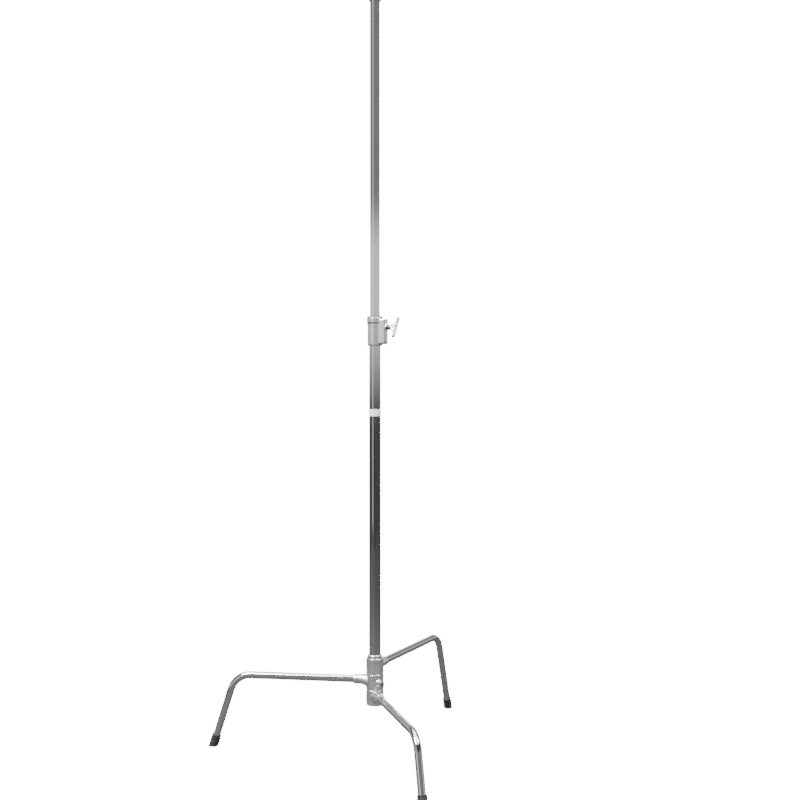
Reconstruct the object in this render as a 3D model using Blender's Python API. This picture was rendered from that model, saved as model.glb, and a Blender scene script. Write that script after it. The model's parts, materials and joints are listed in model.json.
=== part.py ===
"""Steel grip stand: a two-riser column on three nesting legs. Metres, +Z up, standing on Z = 0."""

import math

import bmesh
import bpy
import numpy
from mathutils import Matrix, Vector

# Fits
GAP = 0.0003            # between separate pieces that touch
RUN_GAP = 0.0004        # between pieces that turn or slide past each other
OVERCUT = 0.004         # how far a cutter runs past the wall it cuts

# Column and risers
TUBE_WALL = 0.0015
TUBE_CLEARANCE = 0.0010  # between a tube and the one that slides in it
RISER_2_R = 0.0125
RISER_1_R = RISER_2_R + TUBE_CLEARANCE + TUBE_WALL
COLUMN_R = RISER_1_R + TUBE_CLEARANCE + TUBE_WALL
HUB_Z = 0.146           # underside of the lowest leg ring
COLUMN_LENGTH = 1.1605  # underside of the hub to the top of the lower collar
RISER_1_REACH = COLUMN_LENGTH - 0.2110  # riser 1 showing between the two collars, pulled right out
RISER_2_REACH = RISER_1_REACH - 0.0595  # travel of riser 2
GUIDE_H = 0.006
GUIDE_STEM = 0.018

# Collars that clamp the risers
COLLAR_H = 0.085
COLLAR_WALL = 0.005
RISER_OVERLAP = COLLAR_H + 0.045        # tube left inside the one below, pulled right out
BUSHING_H = 0.020
BUSHING_WALL = 0.0013
FLANGE_H = 0.0022
SCREW_R = 0.0050
PAD_R = SCREW_R + 0.0030
PAD_LENGTH = 0.0085
CLAMP_Z = COLLAR_H - BUSHING_H - PAD_R - 0.0020   # clamp screw above the underside of its collar
SOCKET_DEPTH = CLAMP_Z - PAD_R - 0.0070           # how far the tube below goes up into its collar
CLAMP_AZIMUTH = math.radians(-30.0)
LUG_REACH = 0.0185      # lug past the sleeve's outer wall
BOSS_R = SCREW_R + 0.0045
BOSS_LENGTH = 0.0035
HANDLE_OFFSET = 0.0040  # handle hub past the boss face
BAR_OFFSET = 0.0265     # handle bar past the boss face
BAR_R = 0.0055
BAR_LENGTH = 0.070
BAR_TURN = math.radians(-28.0)

# Marking band
BAND_DROP = 0.2105      # its underside below the lower collar
BAND_H = 0.021
BAND_WALL = 0.0006

# Hub and legs: lowest ring first
LEG_NAMES = ("bottom", "middle", "top")
LEG_AZIMUTHS = tuple(math.radians(a) for a in (-74.3, 172.0, 62.0))
RUN_RISE = (0.0085, 0.0045, 0.0)  # leg centre above the middle of its ring
LEG_R = 0.0110
LEG_WALL = 0.0015
RING_PITCH = 2 * (LEG_R + max(RUN_RISE) + 0.0040)
RING_R = COLUMN_R + 0.0087
LEG_REACH = 0.4655      # column axis to the lowest leg's foot, on the floor
LEG_DROP = math.radians(72.4)
LEG_BEND_R = 0.065
NEST_GAP = 0.0035       # between two feet when the legs are folded together
SOCKET_START = RING_R + 0.0043
SOCKET_END = SOCKET_START + 0.0335
LEG_PIN_X = SOCKET_START + 0.0195
PIN_R = 0.0025
FOOT_R = LEG_R + 0.00325
FOOT_H = 0.037
FOOT_SOLE = 0.0075      # solid thickness under the tube, along the leg
NECK = (                # (from the socket's mouth, share of the leg's rise, width and height over the tube)
    (-0.0600, 0.25, 0.0090, 0.0085), (-0.0440, 0.30, 0.0087, 0.0080), (-0.0375, 0.50, 0.0073, 0.0068),
    (-0.0325, 0.78, 0.0056, 0.0052), (-0.0260, 1.00, 0.0044, 0.0039), (-0.0170, 1.00, 0.0038, 0.0035),
    (-0.0030, 1.00, 0.0035, 0.0033), (-0.0008, 1.00, 0.0029, 0.0027), (0.0000, 1.00, 0.0019, 0.0017),
)
HUB_COLLAR_H = 0.0080
HUB_COLLAR_R = COLUMN_R + 0.0040
WASHER_R = COLUMN_R + 0.0070
WASHER_H = 0.0008
HUB_SCREW_HEAD_R = 0.0048
SET_SCREW_R = 0.0020
SET_SCREW_AZIMUTH = math.radians(-15.0)

# Leg lock in the middle ring
LOCK_AZIMUTH = math.radians(-62.0)
LOCK_PIN_R = 0.0026
LOCK_COLLAR_R = LOCK_PIN_R + 0.0019
LOCK_BOSS_R = LOCK_COLLAR_R + 0.0040
LOCK_BOSS_END = RING_R + 0.0103
LOCK_POCKET = COLUMN_R + 0.0040
LOCK_KNOB_R = 0.0075
LOCK_KNOB_LENGTH = 0.0098
SPRING_WIRE_R = 0.0005
SPRING_R = LOCK_COLLAR_R - SPRING_WIRE_R - GAP
SPRING_TURNS = 3.0
SPRING_PITCH = 0.0014

# Stud on riser 2
STUD_R = 0.00794
STUD_LENGTH = 0.048
STUD_NECK_R = STUD_R - 0.00174
STUD_SHOULDER_R = RISER_2_R + 0.0025
STUD_SHOULDER_H = 0.0050
STUD_STEM = 0.040
STUD_PIN_R = 0.0022
STUD_PIN_DROP = 0.022

ROUND = 32
FINE = 36
SMALL = 12
SHARP_ANGLE = math.radians(32.0)
WELD = 1e-6

LOWER_COLLAR_Z = HUB_Z + COLUMN_LENGTH - COLLAR_H
UPPER_COLLAR_Z = HUB_Z + COLUMN_LENGTH + RISER_1_REACH
HUB_TOP = HUB_Z + 3 * RING_PITCH
NEST_STEP = (2 * FOOT_R + NEST_GAP) / math.sin(LEG_DROP)
LEG_REACHES = tuple(LEG_REACH + i * NEST_STEP for i in range(3))


def stand_offset():
    """Column axis in plan, so that the middle of the whole footprint is at the origin."""
    sole = FOOT_R / math.sin(LEG_DROP)
    lows, highs = [], []
    for reach, azimuth in zip(LEG_REACHES, LEG_AZIMUTHS):
        c, s = math.cos(azimuth), math.sin(azimuth)
        half = numpy.array([math.hypot(sole * c, FOOT_R * s), math.hypot(sole * s, FOOT_R * c)])
        centre = reach * numpy.array([c, s])
        lows.append(centre - half)
        highs.append(centre + half)
    middle = (numpy.min(lows, axis=0) + numpy.max(highs, axis=0)) / 2
    return Vector((-float(middle[0]), -float(middle[1]), 0.0))


# Meshes

def finish(bm, name, material):
    """Turn a bmesh into a named object in the scene."""
    bmesh.ops.remove_doubles(bm, verts=bm.verts, dist=WELD)
    bmesh.ops.recalc_face_normals(bm, faces=bm.faces)
    mesh = bpy.data.meshes.new(name)
    bm.to_mesh(mesh)
    bm.free()
    piece = bpy.data.objects.new(name, mesh)
    bpy.context.scene.collection.objects.link(piece)
    if material is not None:
        mesh.materials.append(material)
    mesh.shade_smooth()
    mesh.set_sharp_from_angle(angle=SHARP_ANGLE)
    return piece


def revolve(profile, segments=ROUND):
    """Closed (radius, height) outline turned about Z."""
    bm = bmesh.new()
    rings = []
    for radius, height in profile:
        if radius < 1e-9:
            rings.append([bm.verts.new((0.0, 0.0, height))] * segments)
            continue
        turn = [2 * math.pi * k / segments for k in range(segments)]
        rings.append([bm.verts.new((radius * math.cos(a), radius * math.sin(a), height)) for a in turn])
    for here, there in zip(rings, rings[1:] + rings[:1]):
        for k in range(segments):
            corners = [here[k], here[(k + 1) % segments], there[(k + 1) % segments], there[k]]
            unique = list(dict.fromkeys(corners))
            if len(unique) > 2:
                bm.faces.new(unique)
    return bm


def rod(radius, start, end, chamfer=0.0, segments=ROUND):
    """Solid round bar along Z, its ends chamfered."""
    if chamfer <= 0.0:
        return revolve([(0, start), (radius, start), (radius, end), (0, end)], segments)
    inner = radius - chamfer
    outline = [(0, start), (inner, start), (radius, start + chamfer)]
    outline += [(radius, end - chamfer), (inner, end), (0, end)]
    return revolve(outline, segments)


def pipe(outer, inner, start, end, segments=ROUND):
    """Round tube along Z."""
    return revolve([(inner, start), (outer, start), (outer, end), (inner, end)], segments)


def loft(sections, power, segments=32):
    """Skin over (x, middle z, half width, half height) sections of rounded rectangles along X."""
    bm = bmesh.new()
    rings = []
    for x, middle, width, height in sections:
        ring = []
        for k in range(segments):
            a = 2 * math.pi * (k + 0.5) / segments
            c, s = math.cos(a), math.sin(a)
            y = math.copysign(abs(c) ** (2 / power), c) * width
            z = math.copysign(abs(s) ** (2 / power), s) * height + middle
            ring.append(bm.verts.new((x, y, z)))
        rings.append(ring)
    for here, there in zip(rings, rings[1:]):
        for k in range(segments):
            n = (k + 1) % segments
            bm.faces.new((here[k], here[n], there[n], there[k]))
    bm.faces.new(rings[0])
    bm.faces.new(rings[-1])
    bmesh.ops.triangulate(bm, faces=bm.faces)
    return bm


def swept_pipe(points, outer, inner, segments):
    """Tube, or a solid wire when inner is 0, along a smooth path of points."""
    bm = bmesh.new()
    points = [Vector(p) for p in points]
    count = len(points)
    tangents = []
    for i in range(count):
        tangents.append((points[min(i + 1, count - 1)] - points[max(i - 1, 0)]).normalized())
    side = tangents[0].orthogonal().normalized()
    shells = [[], []]
    for point, tangent in zip(points, tangents):
        side = (side - tangent * side.dot(tangent)).normalized()
        up = tangent.cross(side)
        for shell, radius in zip(shells, (outer, inner)):
            if radius <= 0.0:
                continue
            ring = []
            for k in range(segments):
                a = 2 * math.pi * k / segments
                ring.append(bm.verts.new(point + radius * (math.cos(a) * side + math.sin(a) * up)))
            shell.append(ring)
    for shell in shells:
        for here, there in zip(shell, shell[1:]):
            for k in range(segments):
                n = (k + 1) % segments
                bm.faces.new((here[k], here[n], there[n], there[k]))
    for end in (0, -1):
        if not shells[1]:
            bm.faces.new(shells[0][end])
            continue
        for k in range(segments):
            n = (k + 1) % segments
            outside, inside = shells[0][end], shells[1][end]
            bm.faces.new((outside[k], outside[n], inside[n], inside[k]))
    return bm


def along_x(bm):
    """Turn a shape made along Z so that it lies along X."""
    bm.transform(Matrix.Rotation(math.pi / 2, 4, "Y"))
    return bm


def moved(bm, x=0.0, y=0.0, z=0.0):
    """Shift a bmesh."""
    bm.transform(Matrix.Translation((x, y, z)))
    return bm


def swung(bm, azimuth):
    """Swing a bmesh about the column axis."""
    bm.transform(Matrix.Rotation(azimuth, 4, "Z"))
    return bm


def combine(piece, tool_mesh, operation):
    """Join a mesh to a piece, or cut it away, with the exact solver."""
    tool = finish(tool_mesh, "tool", None)
    step = piece.modifiers.new(operation.lower(), "BOOLEAN")
    step.operation = operation
    step.solver = "EXACT"
    step.object = tool
    depsgraph = bpy.context.evaluated_depsgraph_get()
    made = bpy.data.meshes.new_from_object(piece.evaluated_get(depsgraph))
    piece.modifiers.remove(step)
    spent = piece.data
    piece.data = made
    made.name = piece.name
    bpy.data.meshes.remove(spent)
    bpy.data.meshes.remove(tool.data)
    bm = bmesh.new()
    bm.from_mesh(made)
    bmesh.ops.remove_doubles(bm, verts=bm.verts, dist=WELD)
    bmesh.ops.dissolve_degenerate(bm, edges=bm.edges, dist=WELD)
    bmesh.ops.triangulate(bm, faces=bm.faces)
    bm.to_mesh(made)
    bm.free()
    made.shade_smooth()
    made.set_sharp_from_angle(angle=SHARP_ANGLE)


def join(piece, tool_mesh):
    """Weld a shape on."""
    combine(piece, tool_mesh, "UNION")


def cut(piece, tool_mesh):
    """Cut a shape away."""
    combine(piece, tool_mesh, "DIFFERENCE")


def set_origin(piece, point):
    """Put a piece's origin on its joint axis without moving it."""
    piece.data.transform(Matrix.Translation(-Vector(point)))
    piece.location = point


# Materials

def material(name, colour, roughness, metallic):
    """Plain finish."""
    made = bpy.data.materials.new(name)
    made.use_nodes = True
    shader = made.node_tree.nodes["Principled BSDF"]
    shader.inputs["Base Color"].default_value = (*colour, 1.0)
    shader.inputs["Roughness"].default_value = roughness
    shader.inputs["Metallic"].default_value = metallic
    return made


def finishes():
    """Every finish on the stand."""
    return {
        "chrome": material("chrome_plate", (0.62, 0.63, 0.65), 0.12, 1.0),
        "casting": material("chromed_casting", (0.60, 0.60, 0.62), 0.24, 1.0),
        "steel": material("zinc_steel", (0.52, 0.52, 0.53), 0.35, 1.0),
        "brass": material("brass", (0.72, 0.55, 0.26), 0.32, 1.0),
        "rubber": material("black_rubber", (0.018, 0.018, 0.019), 0.72, 0.0),
        "nylon": material("black_nylon", (0.03, 0.03, 0.032), 0.45, 0.0),
        "white": material("white_vinyl", (0.86, 0.86, 0.85), 0.5, 0.0),
        "spring": material("spring_steel", (0.42, 0.42, 0.44), 0.3, 1.0),
    }


# Column

def screw_azimuth():
    """The hub screw goes in opposite the lowest leg."""
    return LEG_AZIMUTHS[0] + math.pi


def hub_screw_z():
    """Height of the hub screw, the middle of the lowest ring."""
    return HUB_Z + RING_PITCH / 2


def column_tube(look):
    """Fixed column tube, drilled for the hub screw."""
    bottom = HUB_Z + GUIDE_H / 2
    top = LOWER_COLLAR_Z + SOCKET_DEPTH - GAP
    piece = finish(pipe(COLUMN_R, COLUMN_R - TUBE_WALL, bottom, top, FINE), "column_tube", look["chrome"])
    drill = along_x(rod(PIN_R + GAP, COLUMN_R - TUBE_WALL - OVERCUT, COLUMN_R + OVERCUT, segments=SMALL))
    cut(piece, swung(moved(drill, z=hub_screw_z()), screw_azimuth()))


def column_end_cap(look):
    """Nylon cap that closes the bottom of the column."""
    flange_top = HUB_Z + GUIDE_H / 2 - GAP
    inside = COLUMN_R - TUBE_WALL - GAP
    outline = [(0, HUB_Z), (COLUMN_R - 0.001, HUB_Z), (COLUMN_R, HUB_Z + 0.001), (COLUMN_R, flange_top)]
    outline += [(inside, flange_top), (inside, flange_top + 0.011), (inside - 0.001, flange_top + 0.012)]
    outline += [(0, flange_top + 0.012)]
    finish(revolve(outline), "column_end_cap", look["nylon"])


def marking_band(look):
    """Plain white sleeve on the column."""
    inner = COLUMN_R + GAP
    start = LOWER_COLLAR_Z - BAND_DROP
    band = pipe(inner + BAND_WALL, inner, start, start + BAND_H, FINE)
    finish(band, "marking_band", look["white"])


# Collars

def collar_bore(tube_r):
    """Bore above the socket, which holds the bushing round the sliding tube."""
    return tube_r + GAP + BUSHING_WALL + GAP


def sleeve_radius(socket_r):
    """Outside of a collar's sleeve."""
    return socket_r + COLLAR_WALL


def boss_face(socket_r):
    """Face of the boss that the clamp screw goes into, from the axis."""
    return sleeve_radius(socket_r) + LUG_REACH + BOSS_LENGTH


def collar(name, socket_r, tube_r, z, look):
    """Cast collar: a sleeve with a tall lug for the clamp."""
    sleeve = sleeve_radius(socket_r)
    h = COLLAR_H
    outline = [(0, 0), (sleeve - 0.0022, 0), (sleeve - 0.0005, 0.0030), (sleeve, 0.0060)]
    outline += [(sleeve, h - 0.0190), (sleeve + 0.0006, h - 0.0165), (sleeve + 0.0018, h - 0.0140)]
    outline += [(sleeve + 0.0018, h - 0.0030), (sleeve + 0.0008, h - 0.0008), (sleeve - 0.0010, h), (0, h)]
    piece = finish(revolve(outline, FINE), name, look["casting"])

    tip = sleeve + LUG_REACH
    middle, half = h / 2, h / 2 - 0.0045
    lug = [(0.004, middle, 0.0150, half), (sleeve - 0.003, middle, 0.0145, half)]
    lug += [(sleeve + 0.002, middle, 0.0122, half - 0.0002), (sleeve + 0.007, middle, 0.0106, half - 0.0006)]
    lug += [(tip - 0.004, middle, 0.0100, half - 0.0018), (tip - 0.0012, middle, 0.0088, half - 0.0034)]
    lug += [(tip, middle, 0.0070, half - 0.0060)]
    join(piece, loft(lug, 4.5, 28))
    boss = [(0, sleeve), (BOSS_R, sleeve), (BOSS_R, tip + BOSS_LENGTH - 0.001)]
    boss += [(BOSS_R - 0.001, tip + BOSS_LENGTH), (0, tip + BOSS_LENGTH)]
    join(piece, moved(along_x(revolve(boss, 24)), z=CLAMP_Z))

    cut(piece, rod(socket_r + GAP, -OVERCUT, SOCKET_DEPTH, segments=FINE))
    cut(piece, rod(collar_bore(tube_r), SOCKET_DEPTH - 0.002, h + OVERCUT, segments=FINE))
    bore = [(0, 0), (PAD_R + GAP, 0), (PAD_R + GAP, sleeve + 0.007), (SCREW_R + GAP, sleeve + 0.007)]
    bore += [(SCREW_R + GAP, tip + BOSS_LENGTH + OVERCUT), (0, tip + BOSS_LENGTH + OVERCUT)]
    cut(piece, moved(along_x(revolve(bore, 24)), z=CLAMP_Z))
    piece.data.transform(Matrix.Translation((0, 0, z)) @ Matrix.Rotation(CLAMP_AZIMUTH, 4, "Z"))


def bushing(name, tube_r, z, look):
    """Nylon bushing in the top of a collar, with a flange over its rim."""
    inner = tube_r + GAP
    outer = inner + BUSHING_WALL
    top = COLLAR_H + GAP
    outline = [(inner, top - BUSHING_H), (outer, top - BUSHING_H), (outer, top), (outer + 0.0030, top)]
    outline += [(outer + 0.0030, top + FLANGE_H - 0.0007), (outer + 0.0023, top + FLANGE_H)]
    outline += [(inner + 0.0006, top + FLANGE_H), (inner, top + FLANGE_H - 0.0006)]
    finish(moved(revolve(outline, FINE), z=z), name, look["nylon"])


def brake_pad(name, tube_r, z, look):
    """Brass pad that the clamp screw presses on the sliding tube."""
    piece = finish(along_x(rod(PAD_R, 0.004, tube_r + PAD_LENGTH, 0.0006, 24)), name, look["brass"])
    cut(piece, rod(tube_r + GAP, -0.02, 0.02, segments=FINE))
    piece.data.transform(Matrix.Rotation(CLAMP_AZIMUTH, 4, "Z"))
    set_origin(piece, (0, 0, 0))
    piece.location.z = z + CLAMP_Z


def clamp_screw(name, socket_r, tube_r, z, look):
    """Screw from the pad out into the handle."""
    start = tube_r + PAD_LENGTH + GAP
    end = boss_face(socket_r) + HANDLE_OFFSET + 0.012
    piece = finish(along_x(rod(SCREW_R, start, end, 0.0008, 20)), name, look["steel"])
    piece.data.transform(Matrix.Rotation(CLAMP_AZIMUTH, 4, "Z"))
    piece.location.z = z + CLAMP_Z


def t_handle(name, socket_r, z, look):
    """Cast T-handle: a hub that flares into a round-ended bar."""
    face = boss_face(socket_r)
    start, bar = face + HANDLE_OFFSET, face + BAR_OFFSET
    r = SCREW_R + 0.0034
    hub = [(start, 0, r - 0.0012, r - 0.0012), (start + 0.001, 0, r, r)]
    hub += [(start + 0.006, 0, r - 0.0002, r + 0.0002), (start + 0.011, 0, r - 0.0014, r + 0.0008)]
    hub += [(bar - 0.006, 0, 0.0060, 0.0118), (bar - 0.002, 0, 0.0054, 0.0165)]
    hub += [(bar, 0, 0.0040, 0.0185)]
    piece = finish(loft(hub, 2.0, 24), name, look["casting"])
    half = BAR_LENGTH / 2
    dome = [math.radians(a) for a in (18, 36, 54, 72)]
    round_end = [(BAR_R * math.cos(a), BAR_R * math.sin(a) + half - BAR_R) for a in dome]
    outline = [(0, -half)] + [(r, -h) for r, h in reversed(round_end)]
    outline += [(BAR_R, BAR_R - half), (BAR_R * 0.94, 0), (BAR_R, half - BAR_R)]
    outline += round_end + [(0, half)]
    join(piece, moved(revolve(outline, 20), x=bar))
    socket = rod(SCREW_R + GAP, start - OVERCUT, start + 0.012 + GAP, segments=20)
    cut(piece, along_x(socket))
    turn = Matrix.Rotation(CLAMP_AZIMUTH, 4, "Z") @ Matrix.Rotation(BAR_TURN, 4, "X")
    piece.data.transform(turn)
    piece.location.z = z + CLAMP_Z


def clamp_set(prefix, socket_r, tube_r, z, look):
    """A collar and everything that it clamps with."""
    collar(prefix + "_collar", socket_r, tube_r, z, look)
    bushing(prefix + "_bushing", tube_r, z, look)
    brake_pad(prefix + "_brake_pad", tube_r, z, look)
    clamp_screw(prefix + "_clamp_screw", socket_r, tube_r, z, look)
    t_handle(prefix + "_t_handle", socket_r, z, look)


# Risers

def guide(name, tube_r, outer_r, z, look):
    """Nylon plug in the bottom of a riser, a sliding fit in the tube round it."""
    flange = outer_r - TUBE_WALL - RUN_GAP
    stem = tube_r - TUBE_WALL - GAP
    outline = [(0, 0), (flange - 0.0012, 0), (flange, 0.0012), (flange, GUIDE_H), (stem, GUIDE_H)]
    outline += [(stem, GUIDE_H + GUIDE_STEM - 0.001), (stem - 0.001, GUIDE_H + GUIDE_STEM)]
    outline += [(0, GUIDE_H + GUIDE_STEM)]
    finish(moved(revolve(outline), z=z - GUIDE_H - GAP), name, look["nylon"])


def riser_1(look):
    """First riser, pulled right out."""
    bottom = LOWER_COLLAR_Z + COLLAR_H - RISER_OVERLAP
    top = UPPER_COLLAR_Z + SOCKET_DEPTH - GAP
    finish(pipe(RISER_1_R, RISER_1_R - TUBE_WALL, bottom, top), "riser_1_tube", look["chrome"])
    guide("riser_1_guide", RISER_1_R, COLUMN_R, bottom, look)


def riser_2(look):
    """Second riser, pushed right in, with its stud."""
    shoulder = UPPER_COLLAR_Z + COLLAR_H + GAP + FLANGE_H + RUN_GAP
    top = shoulder - GAP
    bottom = top - RISER_2_REACH - RISER_OVERLAP
    piece = finish(pipe(RISER_2_R, RISER_2_R - TUBE_WALL, bottom, top), "riser_2_tube", look["chrome"])
    pin_z = shoulder - STUD_PIN_DROP
    drill = moved(along_x(rod(STUD_PIN_R + GAP, -RISER_1_R, RISER_1_R, segments=SMALL)), z=pin_z)
    cut(piece, swung(drill, CLAMP_AZIMUTH))
    guide("riser_2_guide", RISER_2_R, RISER_1_R, bottom, look)
    stud(shoulder, pin_z, look)


def stud(shoulder, pin_z, look):
    """Solid stud in the top of riser 2, held by a cross pin."""
    stem = RISER_2_R - TUBE_WALL - GAP
    ledge = shoulder + STUD_SHOULDER_H
    top = ledge + STUD_LENGTH
    outline = [(0, shoulder - STUD_STEM), (stem - 0.001, shoulder - STUD_STEM)]
    outline += [(stem, shoulder - STUD_STEM + 0.001), (stem, shoulder)]
    outline += [(STUD_SHOULDER_R - 0.0006, shoulder), (STUD_SHOULDER_R, shoulder + 0.0006)]
    outline += [(STUD_SHOULDER_R, ledge - 0.0010), (STUD_SHOULDER_R - 0.0010, ledge), (STUD_R, ledge)]
    outline += [(STUD_R, top - 0.0260), (STUD_NECK_R, top - 0.0245), (STUD_NECK_R, top - 0.0165)]
    outline += [(STUD_R, top - 0.0150), (STUD_R, top - 0.0018), (STUD_R - 0.0018, top), (0, top)]
    piece = finish(revolve(outline), "top_stud", look["steel"])
    drill = moved(along_x(rod(STUD_PIN_R + GAP, -RISER_1_R, RISER_1_R, segments=SMALL)), z=pin_z)
    cut(piece, swung(drill, CLAMP_AZIMUTH))
    half = RISER_2_R - GAP
    pin = moved(along_x(rod(STUD_PIN_R, -half, half, 0.0003, SMALL)), z=pin_z)
    finish(swung(pin, CLAMP_AZIMUTH), "stud_pin", look["steel"])


# Hub and legs

def ring_middle(index):
    """Height of the middle of a leg ring."""
    return HUB_Z + RING_PITCH * (index + 0.5)


def leg_ring(index, look):
    """Cast ring that carries one leg in a socket."""
    half = RING_PITCH / 2 - RUN_GAP / 2
    outline = [(0, -half), (RING_R - 0.0014, -half), (RING_R, -half + 0.0014)]
    outline += [(RING_R, half - 0.0014), (RING_R - 0.0014, half), (0, half)]
    piece = finish(revolve(outline, FINE), "leg_ring_" + LEG_NAMES[index], look["casting"])
    rise = RUN_RISE[index]
    end = SOCKET_END
    neck = []
    for x, share, width, height in NECK:
        neck.append((end + x, share * rise, LEG_R + width, LEG_R + height))
    join(piece, loft(neck, 2.15, 28))
    if index == 1:
        add_lock_boss(piece)
    cut(piece, rod(COLUMN_R + GAP, -RING_PITCH, RING_PITCH, segments=FINE))
    socket = along_x(rod(LEG_R + GAP, SOCKET_START, end + OVERCUT, segments=28))
    cut(piece, moved(socket, z=rise))
    cut(piece, cross_pin(PIN_R + GAP, 2 * LEG_R, rise))
    if index == 0:
        drill = [(0, -RING_R - OVERCUT), (HUB_SCREW_HEAD_R + GAP, -RING_R - OVERCUT)]
        drill += [(HUB_SCREW_HEAD_R + GAP, -RING_R + 0.0030), (PIN_R + GAP, -RING_R + 0.0030)]
        drill += [(PIN_R + GAP, 0.0), (0, 0.0)]
        cut(piece, along_x(revolve(drill, SMALL)))
    piece.data.transform(leg_place(index))


def leg_place(index):
    """From a ring's own frame to its place on the stand."""
    lift = Matrix.Translation((0, 0, ring_middle(index)))
    return lift @ Matrix.Rotation(LEG_AZIMUTHS[index], 4, "Z")


def cross_pin(radius, half, rise, chamfer=0.0):
    """Pin, or its drill, level across a leg socket."""
    bm = rod(radius, -half, half, chamfer, SMALL)
    bm.transform(Matrix.Rotation(math.pi / 2, 4, "X"))
    return moved(bm, x=LEG_PIN_X, z=rise)


def leg_path(index):
    """Centre line of a leg in its ring's frame: level, one bend, then down to the foot."""
    level = RUN_RISE[index]
    height = ring_middle(index) + level
    reach = LEG_REACHES[index]
    knee = reach - height / math.tan(LEG_DROP)
    setback = LEG_BEND_R * math.tan(LEG_DROP / 2)
    points = [(SOCKET_START + GAP, 0, level), (knee - setback, 0, level)]
    steps = 9
    for k in range(1, steps + 1):
        a = LEG_DROP * k / steps
        x = knee - setback + LEG_BEND_R * math.sin(a)
        points.append((x, 0, level - LEG_BEND_R * (1 - math.cos(a))))
    bottom = FOOT_SOLE + GAP
    floor = level - height
    end = (reach - bottom * math.cos(LEG_DROP), 0, floor + bottom * math.sin(LEG_DROP))
    points.append(end)
    return points


def leg_tube(index, look):
    """Bent steel leg, drilled for its pin."""
    tube = swept_pipe(leg_path(index), LEG_R, LEG_R - LEG_WALL, 24)
    piece = finish(tube, "leg_tube_" + LEG_NAMES[index], look["chrome"])
    cut(piece, cross_pin(PIN_R + GAP, 2 * LEG_R, RUN_RISE[index]))
    piece.data.transform(leg_place(index))


def leg_pin(index, look):
    """Pin through the socket and the leg."""
    bm = cross_pin(PIN_R, LEG_R + 0.0032, RUN_RISE[index], 0.0004)
    pin = finish(bm, "leg_pin_" + LEG_NAMES[index], look["steel"])
    pin.data.transform(leg_place(index))


def foot(index, look):
    """Rubber boot on the end of a leg, its sole flat on the floor."""
    bore = LEG_R + GAP
    outline = [(0, -0.02), (FOOT_R, -0.02), (FOOT_R, 0.022), (FOOT_R - 0.0006, FOOT_H - 0.004)]
    outline += [(FOOT_R - 0.0010, FOOT_H - 0.0012), (FOOT_R - 0.0018, FOOT_H), (bore, FOOT_H)]
    outline += [(bore, FOOT_SOLE), (0, FOOT_SOLE)]
    bm = revolve(outline, 32)
    lean = Matrix.Rotation(-(math.pi / 2 - LEG_DROP), 4, "Y")
    bm.transform(Matrix.Translation((LEG_REACHES[index], 0, 0)) @ lean)
    everything = bm.verts[:] + bm.edges[:] + bm.faces[:]
    floor = {"plane_co": (0, 0, 0), "plane_no": (0, 0, -1)}
    sliced = bmesh.ops.bisect_plane(bm, geom=everything, clear_outer=True, **floor)
    rim = [e for e in sliced["geom_cut"] if isinstance(e, bmesh.types.BMEdge)]
    bmesh.ops.holes_fill(bm, edges=rim)
    finish(swung(bm, LEG_AZIMUTHS[index]), "foot_" + LEG_NAMES[index], look["rubber"])


def hub_screw(look):
    """Screw that holds the lowest ring to the column."""
    seat = RING_R - 0.0030
    tip = COLUMN_R - TUBE_WALL + 0.0002
    outline = [(0, tip), (PIN_R, tip), (PIN_R, seat + GAP)]
    outline += [(HUB_SCREW_HEAD_R, seat + GAP), (HUB_SCREW_HEAD_R, seat + 0.0024)]
    outline += [(HUB_SCREW_HEAD_R - 0.0012, seat + 0.0034), (0.0016, seat + 0.0034), (0.0016, seat + 0.0014)]
    outline += [(0, seat + 0.0014)]
    screw = moved(along_x(revolve(outline, SMALL)), z=hub_screw_z())
    finish(swung(screw, screw_azimuth()), "hub_screw", look["steel"])


def hub_keeper(look):
    """Washer and collar that keep the rings down on the column."""
    inner = COLUMN_R + GAP
    base = HUB_TOP + GAP
    finish(pipe(WASHER_R, inner, base, base + WASHER_H, FINE), "hub_washer", look["steel"])
    low = base + WASHER_H + GAP
    high = low + HUB_COLLAR_H
    outline = [(inner, low), (HUB_COLLAR_R, low), (HUB_COLLAR_R, high - 0.0030)]
    outline += [(HUB_COLLAR_R - 0.0016, high), (inner, high)]
    piece = finish(revolve(outline, FINE), "hub_collar", look["casting"])
    middle = (low + high) / 2 - 0.001
    drill = rod(SET_SCREW_R + GAP, COLUMN_R - OVERCUT, HUB_COLLAR_R + OVERCUT, segments=SMALL)
    drill = moved(along_x(drill), z=middle)
    cut(piece, swung(drill, SET_SCREW_AZIMUTH))
    tip = inner + GAP
    outline = [(0, tip), (SET_SCREW_R, tip), (SET_SCREW_R, HUB_COLLAR_R - 0.0004)]
    outline += [(0.0010, HUB_COLLAR_R - 0.0004), (0.0010, HUB_COLLAR_R - 0.0018), (0, HUB_COLLAR_R - 0.0018)]
    screw = moved(along_x(revolve(outline, SMALL)), z=middle)
    finish(swung(screw, SET_SCREW_AZIMUTH), "hub_set_screw", look["steel"])


# Leg lock

def lock_turn():
    """The lock's direction in the middle ring's frame."""
    return LOCK_AZIMUTH - LEG_AZIMUTHS[1]


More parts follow.
